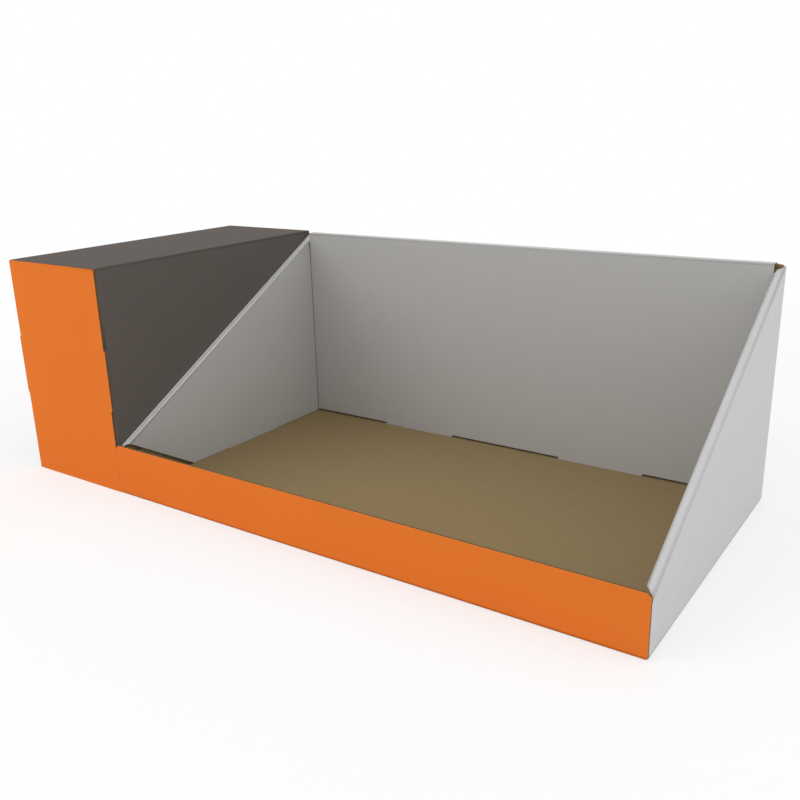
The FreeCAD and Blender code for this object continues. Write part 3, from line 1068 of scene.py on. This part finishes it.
def rigid_creases(part):
    """The creases built into a board: (crease, its ends, how it is folded, its face kinds)."""
    for crease in fixed_creases + part_creases:
        if crease.boards[0] is part:
            for ends in zip(*crease.spans()):
                yield crease, ends, Fold(), (OUTER, SECOND)
    for name in SPLIT_CREASES:
        crease = moving_creases[name]
        if crease.boards[0] is part:
            fold, second_kind = MOVING_CREASE_LOOKS[name]
            yield crease, ends_behind(crease), fold, (OUTER, second_kind)


# ---------------------------------------------------------------- the visible pieces


def piece_materials(outer, inner, second=None):
    """A piece's materials in the order of its face kinds."""
    return [MATERIALS[name] for name in (outer, inner, "raw", second or outer)]


def make_board(part):
    """The visible piece of one board and its creases, which all lead to the same paper."""
    shell = Shell()
    add_liner(shell, part, OUTER)
    add_liner(shell, part, INNER)
    add_medium(shell, part)
    second = None
    for crease, ends, fold, kinds in rigid_creases(part):
        second = crease.boards[1].faces[0]
        crease.add_to(shell, ends, fold, kinds)
    made = shell.build(part.node + "_board", piece_materials(*part.faces, second))
    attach(made, BODY_OF[part.node])
    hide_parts(part.node, *LOCK_TABS.get(part.node, []))


def make_moving_crease(name, crease):
    """The visible piece of a crease between boards of two bodies, built where it stands."""
    first, second = crease.boards
    fold, second_kind = MOVING_CREASE_LOOKS[name]
    ends = moving_ends(name, crease)
    shell = Shell()
    crease.add_to(shell, ends, fold, (OUTER, second_kind))
    made = shell.build(name, piece_materials(*first.faces, second.faces[0]))
    BODY_OF[first.node]
    BODY_OF[second.node]
    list(crease.bend_points(ends))
    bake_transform(made)


for part in BOARDS.values():
    make_board(part)
for name, crease in moving_creases.items():
    make_moving_crease(name, crease)


# ---------------------------------------------------------------- floor, light, camera

FLOOR_RADIUS = 6.0
FLOOR_STEPS = 96
FLOOR_LEVEL = -GAP
FLOOR_FADE_START = 0.9
FLOOR_FADE_END = 2.2
FLOOR_ALBEDO = 0.8
FLOOR_SHOWN_GLOW = 0.58
FLOOR_SHOWN_DIFFUSE = 0.45

WORLD_LIGHT = 0.75
LAMP_SIZE = 2.4
AIM_AT = Vector((0.1, 0.0, 0.1))
LAMPS = {
    "key": (Vector((-2.0, -2.4, 2.4)), 32.0),
    "side": (Vector((3.2, 0.3, 0.9)), 17.0),
}


def seen_directly(nodes):
    """1 for rays from the camera, off a glossy surface or through glass."""
    path = nodes.add("ShaderNodeLightPath")
    seen = nodes.maths("ADD", path.outputs["Is Camera Ray"], path.outputs["Is Glossy Ray"])
    seen = nodes.maths("ADD", seen, path.outputs["Is Transmission Ray"])
    return nodes.maths("MINIMUM", seen, 1.0)


def distance_out(nodes):
    """The distance from the middle of the floor."""
    coordinates = nodes.add("ShaderNodeTexCoord")
    length = nodes.add("ShaderNodeVectorMath", operation="LENGTH")
    nodes.link(coordinates.outputs["Object"], length.inputs[0])
    return length.outputs["Value"]


def floor_material():
    """A pale floor that keeps the object's shadow and fades to plain white further out."""
    nodes = Nodes(bpy.data.materials.new("pale_floor"))
    plain = nodes.shader("ShaderNodeBsdfDiffuse", Color=neutral(FLOOR_ALBEDO))
    shown = nodes.shader("ShaderNodeBsdfDiffuse", Color=neutral(FLOOR_SHOWN_DIFFUSE))
    glow = nodes.shader("ShaderNodeEmission", Color=neutral(FLOOR_SHOWN_GLOW))
    white = nodes.shader("ShaderNodeEmission", Color=neutral(1.0))
    both = nodes.add("ShaderNodeAddShader")
    nodes.link(shown, both.inputs[0])
    nodes.link(glow, both.inputs[1])
    far = nodes.spread(distance_out(nodes), FLOOR_FADE_START, FLOOR_FADE_END)
    faded = nodes.mix_shaders(far, both.outputs[0], white)
    output = nodes.add("ShaderNodeOutputMaterial")
    nodes.link(nodes.mix_shaders(seen_directly(nodes), plain, faded), output.inputs[0])
    return nodes.owner


def make_floor():
    """The round floor, just under the display so that it doesn't touch the base."""
    ring = [math.tau * index / FLOOR_STEPS for index in range(FLOOR_STEPS)]
    points = [(FLOOR_RADIUS * math.cos(a), FLOOR_RADIUS * math.sin(a), FLOOR_LEVEL) for a in ring]
    mesh = bpy.data.meshes.new("studio_floor")
    mesh.from_pydata(points, [], [list(range(FLOOR_STEPS))])
    mesh.materials.append(floor_material())
    floor = bpy.data.objects.new("studio_floor", mesh)
    bpy.context.scene.collection.objects.link(floor)


def make_world():
    """Even light from all round, and a white background."""
    nodes = Nodes(bpy.data.worlds.new("studio"))
    light = nodes.shader("ShaderNodeBackground", Color=neutral(1.0), Strength=WORLD_LIGHT)
    shown = nodes.shader("ShaderNodeBackground", Color=neutral(1.0), Strength=1.0)
    output = nodes.add("ShaderNodeOutputWorld")
    nodes.link(nodes.mix_shaders(seen_directly(nodes), light, shown), output.inputs[0])
    bpy.context.scene.world = nodes.owner


def make_lamp(name, place, power):
    """A large soft lamp that points at the display."""
    light = bpy.data.lights.new(name, "AREA")
    light.shape = "SQUARE"
    light.size = LAMP_SIZE
    light.energy = power
    lamp = bpy.data.objects.new(name, light)
    lamp.location = place
    lamp.rotation_mode = "QUATERNION"
    lamp.rotation_quaternion = (AIM_AT - place).to_track_quat("-Z", "Y")
    bpy.context.scene.collection.objects.link(lamp)


def make_camera():
    """The camera at the view of the photograph."""
    level = math.cos(CAMERA_ELEVATION)
    forward = Vector((
        -math.sin(CAMERA_AZIMUTH) * level,
        math.cos(CAMERA_AZIMUTH) * level,
        -math.sin(CAMERA_ELEVATION),
    ))
    right = forward.cross(Z).normalized()
    upward = right.cross(forward)
    turn = Matrix((right, upward, -forward)).transposed() @ Matrix.Rotation(CAMERA_ROLL, 3, "Z")
    data = bpy.data.cameras.new("camera")
    data.lens = CAMERA_LENS
    data.sensor_width = CAMERA_SENSOR
    data.clip_start = CAMERA_CLIP
    camera = bpy.data.objects.new("camera", data)
    camera.matrix_world = Matrix.Translation(CAMERA_AT) @ turn.to_4x4()
    bpy.context.scene.collection.objects.link(camera)
    bpy.context.scene.camera = camera


make_floor()
make_world()
for name, (place, power) in LAMPS.items():
    make_lamp(name, place, power)
make_camera()
bpy.context.scene.view_settings.view_transform = "Standard"
